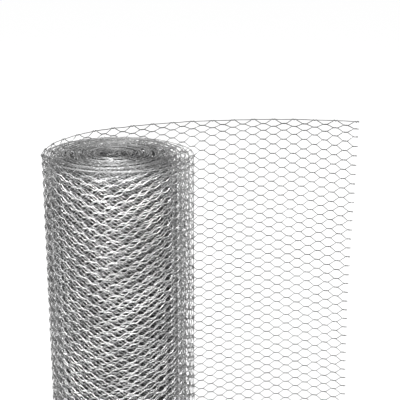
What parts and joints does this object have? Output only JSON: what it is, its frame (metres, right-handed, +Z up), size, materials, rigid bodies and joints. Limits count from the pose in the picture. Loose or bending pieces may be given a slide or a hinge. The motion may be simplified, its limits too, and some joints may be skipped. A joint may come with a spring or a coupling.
{
  "type": "roll of hexagonal wire netting",
  "caption": "Roll of galvanised hexagonal wire netting standing on its end, with its outer turns sprung loose and its free end drawn off behind it.",
  "frame": {"origin": "on the roll's axis, in the plane that the roll stands on", "axes": "+Z up along the roll's axis, -Y towards the front, +X the way the free end runs off behind the roll"},
  "size_m": [0.4034, 0.2732, 0.5],
  "materials": {
    "galvanised_wire": "zinc coated, dull"
  },
  "bodies": {
    "root": {"wire_netting": "galvanised_wire"}
  },
  "joints": []
}
